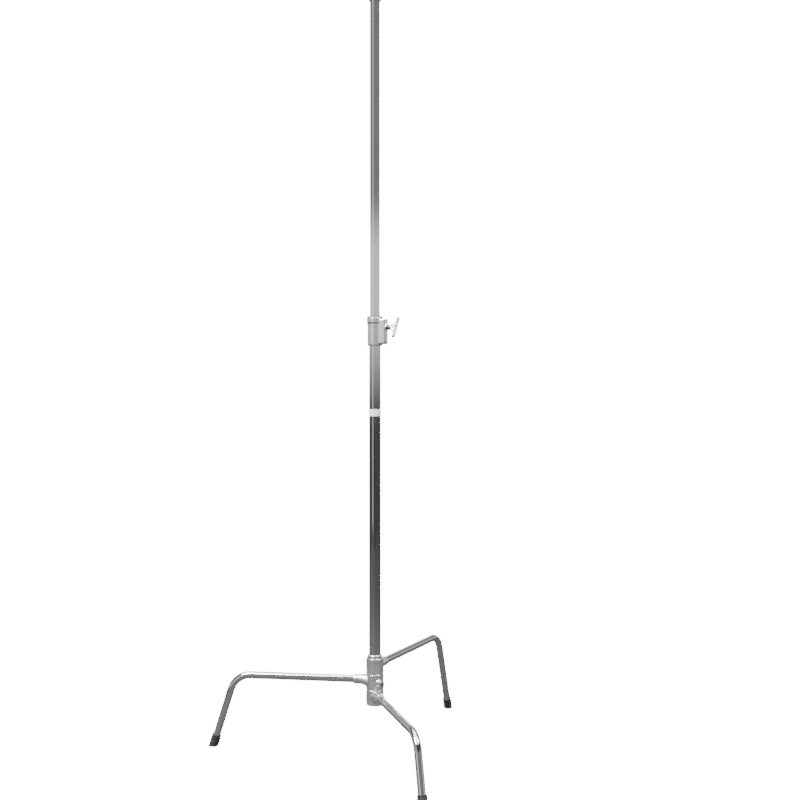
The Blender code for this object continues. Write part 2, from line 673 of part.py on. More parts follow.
def add_lock_boss(piece):
    """Boss on the middle ring, bored for the lock pin and its spring."""
    outline = [(0, 0.004), (LOCK_BOSS_R + 0.0020, 0.004), (LOCK_BOSS_R + 0.0020, RING_R - 0.002)]
    outline += [(LOCK_BOSS_R, RING_R + 0.003), (LOCK_BOSS_R, LOCK_BOSS_END - 0.001)]
    outline += [(LOCK_BOSS_R - 0.001, LOCK_BOSS_END), (0, LOCK_BOSS_END)]
    join(piece, swung(along_x(revolve(outline, 24)), lock_turn()))
    pocket = LOCK_COLLAR_R + GAP
    outline = [(0, 0), (LOCK_PIN_R + GAP, 0), (LOCK_PIN_R + GAP, LOCK_POCKET), (pocket, LOCK_POCKET)]
    outline += [(pocket, LOCK_BOSS_END + OVERCUT), (0, LOCK_BOSS_END + OVERCUT)]
    cut(piece, swung(along_x(revolve(outline, SMALL)), lock_turn()))


def lock_place():
    """From the lock's own frame, along X, to its place in the middle ring."""
    lift = Matrix.Translation((0, 0, ring_middle(1)))
    return lift @ Matrix.Rotation(LOCK_AZIMUTH, 4, "Z")


def lock_set(look):
    """Spring plunger that steadies the middle ring on the column."""
    tip = COLUMN_R + RUN_GAP
    collar_start = LOCK_POCKET + GAP
    knob_start = LOCK_BOSS_END + 0.0008
    knob_end = knob_start + LOCK_KNOB_LENGTH
    pin_end = knob_end - 0.0030
    outline = [(0, tip), (LOCK_PIN_R - 0.0006, tip), (LOCK_PIN_R, tip + 0.0008), (LOCK_PIN_R, collar_start)]
    outline += [(LOCK_COLLAR_R, collar_start), (LOCK_COLLAR_R, collar_start + 0.0015)]
    outline += [(LOCK_PIN_R, collar_start + 0.0015), (LOCK_PIN_R, pin_end), (0, pin_end)]
    pieces = [finish(along_x(revolve(outline, SMALL)), "lock_pin", look["steel"])]

    start = collar_start + 0.0015 + GAP + SPRING_WIRE_R
    steps = 14
    points = []
    for k in range(int(SPRING_TURNS * steps) + 1):
        a = 2 * math.pi * k / steps
        points.append((start + SPRING_PITCH * k / steps, SPRING_R * math.cos(a), SPRING_R * math.sin(a)))
    pieces.append(finish(swept_pipe(points, SPRING_WIRE_R, 0.0, 6), "lock_spring", look["spring"]))

    bushing_ring = pipe(LOCK_COLLAR_R, LOCK_PIN_R + GAP, LOCK_BOSS_END - 0.003, LOCK_BOSS_END, SMALL)
    pieces.append(finish(along_x(bushing_ring), "lock_bushing", look["brass"]))

    bore = LOCK_PIN_R + GAP
    r = LOCK_KNOB_R
    outline = [(0, knob_end), (r - 0.0012, knob_end), (r, knob_end - 0.0012), (r, knob_end - 0.0048)]
    outline += [(r - 0.0014, knob_end - 0.0058), (r - 0.0014, knob_start + 0.0012), (r - 0.0022, knob_start)]
    outline += [(bore, knob_start), (bore, pin_end + GAP), (0, pin_end + GAP)]
    pieces.append(finish(along_x(revolve(outline, 24)), "lock_knob", look["steel"]))
    for piece in pieces:
        piece.data.transform(lock_place())


def main():
    for left_over in list(bpy.data.objects):
        bpy.data.objects.remove(left_over)
    look = finishes()
    column_tube(look)
    column_end_cap(look)
    marking_band(look)
    clamp_set("lower", COLUMN_R, RISER_1_R, LOWER_COLLAR_Z, look)
    riser_1(look)
    clamp_set("upper", RISER_1_R, RISER_2_R, UPPER_COLLAR_Z, look)
    riser_2(look)
    for index in range(3):
        leg_ring(index, look)
        leg_tube(index, look)
        leg_pin(index, look)
        foot(index, look)
    hub_screw(look)
    hub_keeper(look)
    lock_set(look)
    offset = stand_offset()
    for piece in bpy.data.objects:
        piece.location += offset


main()
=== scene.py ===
"""Grip stand: the finished look of every piece, a white studio and the camera."""

import json
import math

import bmesh
import bpy
from mathutils import Matrix, Vector

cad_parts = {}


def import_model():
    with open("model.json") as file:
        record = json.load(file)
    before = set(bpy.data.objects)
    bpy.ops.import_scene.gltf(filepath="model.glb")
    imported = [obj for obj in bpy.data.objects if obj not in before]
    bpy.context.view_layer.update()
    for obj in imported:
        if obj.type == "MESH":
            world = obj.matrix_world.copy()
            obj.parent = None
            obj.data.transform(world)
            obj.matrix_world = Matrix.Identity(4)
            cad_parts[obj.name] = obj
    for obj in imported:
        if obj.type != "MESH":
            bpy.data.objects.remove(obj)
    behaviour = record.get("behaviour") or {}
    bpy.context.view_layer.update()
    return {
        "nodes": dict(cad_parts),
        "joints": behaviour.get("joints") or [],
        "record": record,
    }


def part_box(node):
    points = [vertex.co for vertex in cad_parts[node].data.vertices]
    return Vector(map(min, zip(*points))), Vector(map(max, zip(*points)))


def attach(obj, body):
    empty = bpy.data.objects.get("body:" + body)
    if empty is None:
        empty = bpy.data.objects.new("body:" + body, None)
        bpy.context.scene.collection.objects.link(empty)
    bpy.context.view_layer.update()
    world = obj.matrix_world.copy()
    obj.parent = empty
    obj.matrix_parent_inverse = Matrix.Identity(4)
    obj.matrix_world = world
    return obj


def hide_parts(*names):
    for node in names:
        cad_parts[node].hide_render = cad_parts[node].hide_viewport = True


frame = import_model()

# ---------------------------------------------------------------- sizes, metres

COLUMN_R, RISER_1_R, RISER_2_R, TUBE_WALL = 0.0175, 0.0150, 0.0125, 0.0015
GAP = 0.0003
COLLAR_H, COLLAR_WALL, SOCKET_DEPTH, CLAMP_Z = 0.085, 0.005, 0.040, 0.055
LUG_REACH, BOSS_R, BOSS_LENGTH, PAD_R, SCREW_R = 0.0185, 0.0095, 0.0035, 0.0080, 0.0050
HANDLE_OFFSET, BAR_OFFSET, BAR_R, BAR_LENGTH = 0.0040, 0.0265, 0.0055, 0.070
CLAMP_AZIMUTH, BAR_TURN = math.radians(-30.0), math.radians(-28.0)
SCREW_PITCH = 0.0015

HUB_Z, RING_PITCH, RING_R = 0.146, 0.047, 0.0262
RING_HALF = RING_PITCH / 2 - 0.0002
LEGS = (  # name, azimuth, rise of the leg over the middle of its ring, reach of the foot
    ("bottom", math.radians(-74.3), 0.0085, 0.46550),
    ("middle", math.radians(172.0), 0.0045, 0.49907),
    ("top", math.radians(62.0), 0.0000, 0.53264),
)
LEG_R, LEG_DROP, LEG_BEND_R = 0.0110, math.radians(72.4), 0.065
SOCKET_START, SOCKET_END, LEG_PIN_X, PIN_R = 0.0305, 0.0640, 0.0500, 0.0025
FOOT_R, FOOT_H, FOOT_SOLE, GRIP_GROOVES = 0.01425, 0.037, 0.0075, 4
HUB_COLLAR_R, WASHER_R = 0.0215, 0.0245
LOCK_AZIMUTH, LOCK_PIN_R, LOCK_BOSS_R, LOCK_BOSS_END = math.radians(-62.0), 0.0026, 0.0085, 0.0365
KNURLS = 48
STUD_R, STUD_NECK_R, STUD_SHOULDER_R = 0.00794, 0.0062, 0.0150

TURN = 2 * math.pi
ROUND = 96
FLAT_TURN = math.radians(38.0)  # faces that meet more sharply than this keep a crisp edge

record = frame["record"]
joints = {j["name"]: j for j in frame["joints"]}
body_of_node = {n: b for b, nodes in record["behaviour"]["bodies"].items() for n in nodes}
slot_of_node = {s["node"]: s["material_slot"] for s in record["subparts"]}
AXIS = Vector(joints["leg_middle_swing"]["pos_m"])
AXIS.z = 0.0


# ---------------------------------------------------------------- shader wiring

class Wire:
    """A shader socket that can be used in sums."""

    def __init__(self, graph, socket):
        self.graph, self.socket = graph, socket

    def math(self, operation, *others):
        return self.graph.node("ShaderNodeMath", {"operation": operation}, [self, *others])

    def __add__(self, other):
        return self.math("ADD", other)

    def __sub__(self, other):
        return self.math("SUBTRACT", other)

    def __mul__(self, other):
        return self.math("MULTIPLY", other)

    def __rsub__(self, other):
        return self.graph.node("ShaderNodeMath", {"operation": "SUBTRACT"}, [other, self])

    __radd__, __rmul__ = __add__, __mul__

    def between(self, low, high):
        """0 below low, 1 above high, eased between."""
        settings = {"interpolation_type": "SMOOTHSTEP"}
        return self.graph.node("ShaderNodeMapRange", settings, [self, low, high, 0.0, 1.0])


class Graph:
    """Node tree of one material, or of the world."""

    def __init__(self, tree):
        self.tree = tree

    def node(self, kind, settings=None, inputs=(), output=0, **named):
        """Add a node. Inputs are values or wires, by place or by socket name."""
        made = self.tree.nodes.new(kind)
        for key, value in (settings or {}).items():
            setattr(made, key, value)
        sockets = [(made.inputs[i], v) for i, v in enumerate(inputs) if v is not None]
        sockets += [(self.socket(made, key), v) for key, v in named.items()]
        for socket, value in sockets:
            self.join(socket, value)
        return Wire(self, made.outputs[output]) if made.outputs else made

    def socket(self, made, key):
        """The enabled input whose name is key."""
        wanted = key.replace("_", " ").lower()
        return next(s for s in made.inputs if s.name.lower() == wanted and s.enabled)

    def join(self, socket, value):
        """Link a wire to a socket, or set the socket to a value."""
        if isinstance(value, Wire):
            self.tree.links.new(value.socket, socket)
        elif isinstance(value, tuple) and len(value) == 3 and socket.type == "RGBA":
            socket.default_value = (*value, 1.0)
        else:
            socket.default_value = value

    def place(self, stretch=(1.0, 1.0, 1.0)):
        """The piece's own coordinates, in metres."""
        where = self.node("ShaderNodeTexCoord", output="Object")
        return self.node("ShaderNodeMapping", None, [where], Scale=stretch)

    def noise(self, scale, detail=3.0, rough=0.55, stretch=(1.0, 1.0, 1.0), warp=0.0):
        """Cloudy noise, 0 to 1. stretch is the noise's own frequency along X, Y and Z."""
        return self.node("ShaderNodeTexNoise", None, [], 0, Vector=self.place(stretch), Scale=scale,
                         Detail=detail, Roughness=rough, Distortion=warp)

    def cells(self, scale):
        """Distance to the nearest of many scattered points."""
        return self.node("ShaderNodeTexVoronoi", None, [], "Distance", Vector=self.place(), Scale=scale)

    def mix(self, factor, low, high):
        """Blend two colours."""
        made = self.tree.nodes.new("ShaderNodeMix")
        made.data_type = "RGBA"
        made.clamp_factor = True
        for key, value in (("Factor_Float", factor), ("A_Color", low), ("B_Color", high)):
            self.join(next(s for s in made.inputs if s.identifier == key), value)
        return Wire(self, next(s for s in made.outputs if s.identifier == "Result_Color"))

    def upward(self):
        """1 where the surface faces up."""
        normal = self.node("ShaderNodeNewGeometry", output="Normal")
        return self.node("ShaderNodeSeparateXYZ", None, [normal], 2)


def finish(name, base, roughness, metallic=0.0):
    """A material whose Principled shader is ready to be wired."""
    made = bpy.data.materials.new(name)
    made.use_nodes = True
    made.diffuse_color = (*base, 1.0)
    graph = Graph(made.node_tree)
    shader = made.node_tree.nodes["Principled BSDF"]
    for key, value in (("Base Color", (*base, 1.0)), ("Roughness", roughness), ("Metallic", metallic)):
        shader.inputs[key].default_value = value
    return made, graph, shader.inputs


def bump(graph, inputs, height, distance):
    """Feed a height, as a share of distance in metres, to the normal."""
    made = graph.node("ShaderNodeBump", None, [], 0, Strength=1.0, Distance=distance, Height=height)
    graph.join(inputs["Normal"], made)


def plated_tube(name, stretch):
    """Bright plate on drawn tube. stretch is the grain: small along the tube."""
    made, g, inputs = finish(name, (0.57, 0.575, 0.585), 0.07, 1.0)
    haze = g.noise(7.0, 4.0, 0.6, warp=0.6).between(0.42, 0.72)
    film = g.noise(38.0, 5.0, 0.65, warp=1.2).between(0.48, 0.80)
    grain = g.noise(1.0, 2.0, 0.5, stretch)
    hairs = g.noise(1.0, 3.0, 0.5, tuple(s * 0.33 for s in stretch)).between(0.62, 0.70)
    pits = (1.0 - g.cells(650.0).between(0.05, 0.12)) * g.noise(22.0, 2.0).between(0.66, 0.76)
    clean = g.mix(haze * 0.7, (0.585, 0.59, 0.60), (0.50, 0.505, 0.52))
    worn = g.mix(film * 0.35, clean, (0.44, 0.44, 0.445))
    g.join(inputs["Base Color"], g.mix(pits * 0.6, worn, (0.20, 0.17, 0.15)))
    g.join(inputs["Roughness"], 0.045 + haze * 0.035 + film * 0.07 + hairs * 0.10 + pits * 0.35)
    bump(g, inputs, grain * 0.35 + hairs * -0.4 + pits * -1.0 + g.noise(60.0, 2.0) * 3.0, 0.000006)
    return made


def plated_casting(name, shade, rough):
    """Bright plate on a tumbled casting: soft, faintly pebbled, darker in its pores."""
    made, g, inputs = finish(name, (shade, shade, shade), rough, 1.0)
    pebble = g.noise(260.0, 3.0, 0.6)
    broad = g.noise(55.0, 3.0, 0.55, warp=0.4)
    pores = (1.0 - g.cells(420.0).between(0.06, 0.16)) * g.noise(80.0, 2.0).between(0.62, 0.74)
    grime = g.noise(26.0, 6.0, 0.7, warp=0.8).between(0.46, 0.74)
    scuffs = g.noise(1.0, 4.0, 0.6, (900.0, 900.0, 90.0)).between(0.62, 0.70)
    clean = g.mix(broad, tuple(shade * k for k in (0.94, 0.94, 0.95)), (shade, shade, shade))
    worn = g.mix(grime * 0.40, clean, tuple(shade * k for k in (0.56, 0.55, 0.53)))
    g.join(inputs["Base Color"], g.mix(pores * 0.6, worn, (0.20, 0.19, 0.18)))
    g.join(inputs["Roughness"], rough + pebble * 0.08 + grime * 0.12 + pores * 0.3 + scuffs * 0.10)
    bump(g, inputs, pebble * 0.5 + broad * 1.2 + pores * -0.6 + scuffs * -0.35, 0.00007)
    return made


def machined_face():
    """Bored and faced metal inside the castings, with fine tool marks round the bore."""
    made, g, inputs = finish("machined_steel", (0.55, 0.55, 0.56), 0.28, 1.0)
    marks = g.noise(1.0, 3.0, 0.6, (120.0, 120.0, 5200.0))
    oil = g.noise(60.0, 4.0, 0.6).between(0.45, 0.75)
    g.join(inputs["Base Color"], g.mix(oil, (0.56, 0.56, 0.57), (0.30, 0.295, 0.28)))
    g.join(inputs["Roughness"], 0.22 + marks * 0.18)
    bump(g, inputs, marks, 0.00004)
    return made


def zinc_steel():
    """Turned steel, zinc plated: a cool grey with a faint yellow bloom."""
    made, g, inputs = finish("zinc_steel", (0.52, 0.52, 0.53), 0.34, 1.0)
    bloom = g.noise(110.0, 4.0, 0.6, warp=0.8).between(0.40, 0.75)
    marks = g.noise(1.0, 3.0, 0.6, (900.0, 900.0, 4200.0))
    stains = g.noise(300.0, 3.0, 0.7).between(0.60, 0.75)
    plate = g.mix(bloom, (0.55, 0.555, 0.57), (0.50, 0.485, 0.43))
    g.join(inputs["Base Color"], g.mix(stains * 0.6, plate, (0.30, 0.285, 0.26)))
    g.join(inputs["Roughness"], 0.17 + marks * 0.14 + bloom * 0.08)
    bump(g, inputs, marks + stains * -0.6, 0.00004)
    return made


def brass():
    """Turned brass, a little tarnished."""
    made, g, inputs = finish("brass", (0.72, 0.55, 0.26), 0.32, 1.0)
    tarnish = g.noise(260.0, 4.0, 0.65, warp=0.7).between(0.40, 0.75)
    marks = g.noise(1.0, 3.0, 0.6, (2600.0, 2600.0, 2600.0))
    g.join(inputs["Base Color"], g.mix(tarnish, (0.74, 0.56, 0.26), (0.42, 0.29, 0.13)))
    g.join(inputs["Roughness"], 0.22 + tarnish * 0.22 + marks * 0.06)
    bump(g, inputs, marks, 0.00003)
    return made


def black_rubber():
    """Matt moulded rubber, dusty where it faces up and scuffed near the floor."""
    made, g, inputs = finish("black_rubber", (0.012, 0.012, 0.0125), 0.7)
    skin = g.noise(900.0, 3.0, 0.6)
    dust = g.upward().between(-0.1, 0.9) * g.noise(120.0, 5.0, 0.7).between(0.35, 0.75)
    height = g.node("ShaderNodeSeparateXYZ", None, [g.place()], 2)
    scuff = (1.0 - height.between(0.001, 0.010)) * g.noise(260.0, 4.0, 0.7).between(0.42, 0.62)
    fresh = g.mix(skin, (0.005, 0.005, 0.0053), (0.010, 0.010, 0.0104))
    dusty = g.mix(dust * 0.45, fresh, (0.045, 0.043, 0.040))
    g.join(inputs["Base Color"], g.mix(scuff * 0.7, dusty, (0.060, 0.057, 0.054)))
    g.join(inputs["Roughness"], 0.58 + skin * 0.14 + dust * 0.2 + scuff * 0.15)
    bump(g, inputs, skin + scuff * -0.8, 0.00012)
    return made


def black_nylon():
    """Moulded nylon, polished where tubes rub it."""
    made, g, inputs = finish("black_nylon", (0.02, 0.02, 0.021), 0.42)
    skin = g.noise(700.0, 3.0, 0.6)
    rub = g.noise(90.0, 3.0, 0.6).between(0.45, 0.70)
    g.join(inputs["Base Color"], g.mix(rub, (0.017, 0.017, 0.018), (0.034, 0.034, 0.035)))
    g.join(inputs["Roughness"], 0.48 + skin * 0.10 + rub * -0.18)
    bump(g, inputs, skin, 0.00005)
    return made


def white_vinyl():
    """White wrap: faintly wrinkled, grubby at its edges, rubbed in places."""
    made, g, inputs = finish("white_vinyl", (0.86, 0.86, 0.85), 0.42)
    low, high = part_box("marking_band")
    height = g.node("ShaderNodeSeparateXYZ", None, [g.place()], 2)
    edge = height.between(high.z - 0.0030, high.z) + (1.0 - height.between(low.z, low.z + 0.0030))
    grub = edge * 0.5 * g.noise(160.0, 4.0, 0.7).between(0.30, 0.70)
    rub = g.noise(1.0, 5.0, 0.65, (420.0, 420.0, 60.0)).between(0.60, 0.72)
    wrinkle = g.noise(1.0, 2.0, 0.5, (70.0, 70.0, 160.0))
    tone = g.mix(g.noise(26.0, 3.0), (0.88, 0.88, 0.865), (0.82, 0.82, 0.80))
    tone = g.mix(grub, tone, (0.52, 0.51, 0.48))
    g.join(inputs["Base Color"], g.mix(rub * 0.4, tone, (0.60, 0.60, 0.59)))
    g.join(inputs["Roughness"], 0.36 + rub * 0.25 + wrinkle * 0.10)
    bump(g, inputs, wrinkle + g.noise(1400.0, 2.0) * 0.05, 0.00030)
    return made


def spring_steel():
    """Oiled drawn wire."""
    made, g, inputs = finish("spring_steel", (0.42, 0.42, 0.44), 0.3, 1.0)
    oil = g.noise(500.0, 3.0, 0.6).between(0.4, 0.7)
    g.join(inputs["Base Color"], g.mix(oil, (0.44, 0.44, 0.45), (0.26, 0.24, 0.21)))
    g.join(inputs["Roughness"], 0.24 + oil * 0.2)
    return made


LOOKS = {
    "chrome_tube": plated_tube("chrome_plate", (1500.0, 1500.0, 14.0)),
    "chromed_casting": plated_casting("chromed_casting", 0.84, 0.24),
    "zinc_steel": zinc_steel(),
    "brass": brass(),
    "black_rubber": black_rubber(),
    "black_nylon": black_nylon(),
    "white_vinyl": white_vinyl(),
    "spring_steel": spring_steel(),
}
MACHINED = machined_face()
# Darker copy of the casting plate. On the T-handle it is painted shade: the handle has the same plate as the
# collars, and this copy dims the lights' highlight along its bar. On the lock knob it stands for a darker
# finish.
DARK_CASTING_AND_SHADE = plated_casting("dark_casting_and_shade", 0.30, 0.24)


# ---------------------------------------------------------------- shapes

def rounded(corners, steps=5):
    """Points of an outline of (radius, height) corners. A third number rounds that corner."""
    points = []
    for i, corner in enumerate(corners):
        here = Vector(corner[:2])
        if len(corner) < 3:
            points.append(here)
            continue
        before, after = Vector(corners[i - 1][:2]), Vector(corners[(i + 1) % len(corners)][:2])
        start = here + (before - here).normalized() * corner[2]
        end = here + (after - here).normalized() * corner[2]
        for k in range(steps + 1):
            t = k / steps
            points.append(start * (1 - t) ** 2 + here * 2 * t * (1 - t) + end * t * t)
    return points


def guarded(points, closed):
    """Put a point just inside each end of every long straight, so that its shading stays straight."""
    kept = []
    for here, there in zip(points, points[1:] + (points[:1] if closed else [])):
        run = there - here
        kept.append(here)
        if run.length > 0.004:
            step = run.normalized() * 0.001
            kept += [here + step, there - step]
    return kept if closed else kept + [points[-1]]


def tidy(bm):
    """Weld, drop slivers and face everything outwards."""
    bmesh.ops.remove_doubles(bm, verts=bm.verts, dist=1e-6)
    bmesh.ops.dissolve_degenerate(bm, edges=bm.edges, dist=1e-6)
    bmesh.ops.recalc_face_normals(bm, faces=bm.faces)
    return bm


def turned(corners, closed=False, steps=ROUND, angle=TURN):
    """Turn an outline about Z. A closed outline gives a ring, an open one runs from axis to axis."""
    bm = bmesh.new()
    verts = [bm.verts.new((p.x, 0.0, p.y)) for p in guarded(rounded(corners), closed)]
    ends = verts[1:] + verts[:1] if closed else verts[1:]
    edges = [bm.edges.new(pair) for pair in zip(verts, ends)]
    whole = abs(angle - TURN) < 1e-6
    swept = bmesh.ops.spin(bm, geom=verts + edges, axis=(0, 0, 1), cent=(0, 0, 0), angle=angle,
                           steps=steps, use_merge=whole)
    if not whole:
        for rim in (edges, [e for e in swept["geom_last"] if isinstance(e, bmesh.types.BMEdge)]):
            bmesh.ops.edgeloop_fill(bm, edges=rim)
    return tidy(bm)


def tube(outer, inner, low, high, edge=0.0004, steps=ROUND):
    """Round tube along Z with broken edges."""
    corners = [(inner, low, edge), (outer, low, edge), (outer, high, edge), (inner, high, edge)]
    return turned(corners, True, steps)


def bar(radius, low, high, edge=0.0005, steps=ROUND):
    """Solid round bar along Z with broken edges."""
    return turned([(0, low), (radius, low, edge), (radius, high, edge), (0, high)], False, steps)


def block(low, high, edge, segments=4):
    """Box between two corners with rounded edges."""
    bm = bmesh.new()
    bmesh.ops.create_cube(bm, size=1.0)
    low, high = Vector(low), Vector(high)
    bmesh.ops.scale(bm, verts=bm.verts, vec=high - low)
    bmesh.ops.translate(bm, verts=bm.verts, vec=(low + high) / 2)
    if edge:
        bmesh.ops.bevel(bm, geom=bm.edges, offset=edge, segments=segments, affect="EDGES", profile=0.5,
                        material=-1)
    return bm


def hexagon(across, low, high):
    """Six-sided bar along Z, measured across its flats."""
    bm = bmesh.new()
    radius = across / math.sqrt(3)
    bmesh.ops.create_cone(bm, cap_ends=True, segments=6, radius1=radius, radius2=radius, depth=high - low)
    bmesh.ops.translate(bm, verts=bm.verts, vec=(0, 0, (low + high) / 2))
    return bm


def threaded(radius, low, high, pitch=SCREW_PITCH, steps=40):
    """Screw thread along Z round a plain core."""
    depth = pitch * 0.55
    bm = bmesh.new()
    root = radius - depth
    ridge = [(root, 0.0), (root, 0.18), (radius, 0.46), (radius, 0.62), (root, 0.90), (root, 1.0)]
    verts = [bm.verts.new((r, 0.0, low + share * pitch)) for r, share in ridge]
    edges = [bm.edges.new(pair) for pair in zip(verts, verts[1:])]
    turns = int((high - low) / pitch) - 1
    bmesh.ops.spin(bm, geom=verts + edges, axis=(0, 0, 1), cent=(0, 0, 0), angle=TURN * turns,
                   steps=steps * turns, dvec=(0, 0, pitch / steps))
    tidy(bm)
    return [bm, bar(root + 0.00002, low, high, 0.0004, steps)]


def put(shape, *moves):
    """Move shapes, each by the moves in turn."""
    shapes = shape if isinstance(shape, list) else [shape]
    for bm in shapes:
        for move in moves:
            bm.transform(move)
    return shape


LIE = Matrix.Rotation(math.pi / 2, 4, "Y")      # from along Z to along X
ACROSS = Matrix.Rotation(math.pi / 2, 4, "X")   # from along Z to along Y


def shift(x=0.0, y=0.0, z=0.0):
    return Matrix.Translation((x, y, z))


def swing(angle):
    return Matrix.Rotation(angle, 4, "Z")


def on_stand(height, azimuth=0.0):
    """From a piece's own frame to its place about the column."""
    return shift(AXIS.x, AXIS.y, height) @ swing(azimuth)


def mesh_object(name, shapes, materials):
    """One object from one or more shapes."""
    bm = bmesh.new()
    for shape in shapes if isinstance(shapes, list) else [shapes]:
        part = bpy.data.meshes.new("part")
        shape.to_mesh(part)
        shape.free()
        bm.from_mesh(part)
        bpy.data.meshes.remove(part)
    mesh = bpy.data.meshes.new(name)
    bm.to_mesh(mesh)
    bm.free()
    for material in materials:
        mesh.materials.append(material)
    made = bpy.data.objects.new(name, mesh)
    bpy.context.scene.collection.objects.link(made)
    return made


def settle(made):
    """Apply an object's modifiers."""
    depsgraph = bpy.context.evaluated_depsgraph_get()
    mesh = bpy.data.meshes.new_from_object(made.evaluated_get(depsgraph), depsgraph=depsgraph)
    spent = made.data
    made.modifiers.clear()
    made.data = mesh
    mesh.name = made.name
    bpy.data.meshes.remove(spent)


def piece(node, shapes, cutters=(), voxel=0.0, soften=0, look=None):
    """Finished piece that rides where its CAD node does. voxel and soften cast it in one body."""
    look = look or LOOKS[slot_of_node[node]]
    made = mesh_object("finished_" + node, shapes, [look])
    if voxel:
        cast = made.modifiers.new("cast", "REMESH")
        cast.mode, cast.voxel_size = "VOXEL", voxel
        ease = made.modifiers.new("ease", "SMOOTH")
        ease.factor, ease.iterations = 0.5, soften
        settle(made)
        made.data.materials.clear()
        made.data.materials.append(look)
    for shape in cutters:
        tool = mesh_object("tool", shape, [MACHINED if voxel else look])
        cut = made.modifiers.new("cut", "BOOLEAN")
        cut.operation, cut.solver, cut.object = "DIFFERENCE", "EXACT", tool
        cut.material_mode = "TRANSFER"
        settle(made)
        bpy.data.meshes.remove(tool.data)
    made.data.shade_smooth()
    made.data.set_sharp_from_angle(angle=FLAT_TURN)
    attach(made, body_of_node[node])
    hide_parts(node)


# ---------------------------------------------------------------- column and risers

def column():
    """Column tube, the cap that closes its bottom, and the white band with its lap."""
    low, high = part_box("column_tube")
    piece("column_tube", put(tube(COLUMN_R, COLUMN_R - TUBE_WALL, low.z, high.z), on_stand(0)))

    low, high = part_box("column_end_cap")
    shoulder, inside = low.z + 0.0027, COLUMN_R - TUBE_WALL - GAP
    cap = [(0, low.z + 0.0006), (0.0060, low.z + 0.0006, 0.0004), (0.0066, low.z, 0.0004)]
    cap += [(COLUMN_R, low.z, 0.0009), (COLUMN_R, shoulder, 0.0002), (inside, shoulder)]
    cap += [(inside, high.z, 0.0008), (0, high.z)]
    piece("column_end_cap", put(turned(cap), on_stand(0)))

    low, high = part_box("marking_band")
    inner, outer = COLUMN_R + 0.00004, COLUMN_R + 0.00062
    wrap = turned([(inner, low.z), (outer, low.z, 0.0003), (outer, high.z, 0.0003), (inner, high.z)], True)
    lap = turned([(outer - 0.0001, low.z + 0.0003), (outer + 0.00026, low.z + 0.0003, 0.0001),
                  (outer + 0.00026, high.z - 0.0002, 0.0001), (outer - 0.0001, high.z - 0.0002)],
                 True, 16, math.radians(48))
    piece("marking_band", put([wrap, put(lap, swing(math.radians(20)))], on_stand(0)))


def riser(name, radius, drill=None):
    """Plain tube, drilled across where its stud is pinned."""
    low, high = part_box(name)
    shape = put(tube(radius, radius - TUBE_WALL, low.z, high.z), on_stand(0))
    piece(name, shape, [drill] if drill else [])


def stud():
    """Top stud and its pin. Gives the drill that the pin needs through the riser."""
    low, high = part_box("top_stud")
    stem = RISER_2_R - TUBE_WALL - GAP
    shoulder = low.z + 0.040
    ledge, top = shoulder + 0.005, high.z
    outline = [(0, low.z), (stem, low.z, 0.001), (stem, shoulder), (STUD_SHOULDER_R, shoulder, 0.0007)]
    outline += [(STUD_SHOULDER_R, ledge, 0.0012), (STUD_R + 0.0001, ledge, 0.0008), (STUD_R, ledge + 0.002)]
    outline += [(STUD_R, top - 0.0260, 0.0005), (STUD_NECK_R, top - 0.0244, 0.0008)]
    outline += [(STUD_NECK_R, top - 0.0166, 0.0008), (STUD_R, top - 0.0150, 0.0005)]
    outline += [(STUD_R, top - 0.0018, 0.0004), (STUD_R - 0.0018, top, 0.0004), (0, top)]
    across = (LIE, on_stand(shoulder - 0.022, CLAMP_AZIMUTH))
    drills = [put(bar(0.0025, -0.03, 0.03, 0.0, 32), *across) for k in range(2)]
    piece("top_stud", put(turned(outline), on_stand(0)), drills[:1])
    piece("stud_pin", put(roll_pin(0.0022, RISER_2_R - GAP), *across))
    return drills[1]


def roll_pin(radius, half):
    """Split spring pin along Z."""
    inner = radius * 0.55
    corners = [(inner, -half, 0.0002), (radius, -half, 0.0003)]
    corners += [(radius, half, 0.0003), (inner, half, 0.0002)]
    return turned(corners, True, 36, math.radians(338))


# ---------------------------------------------------------------- clamps

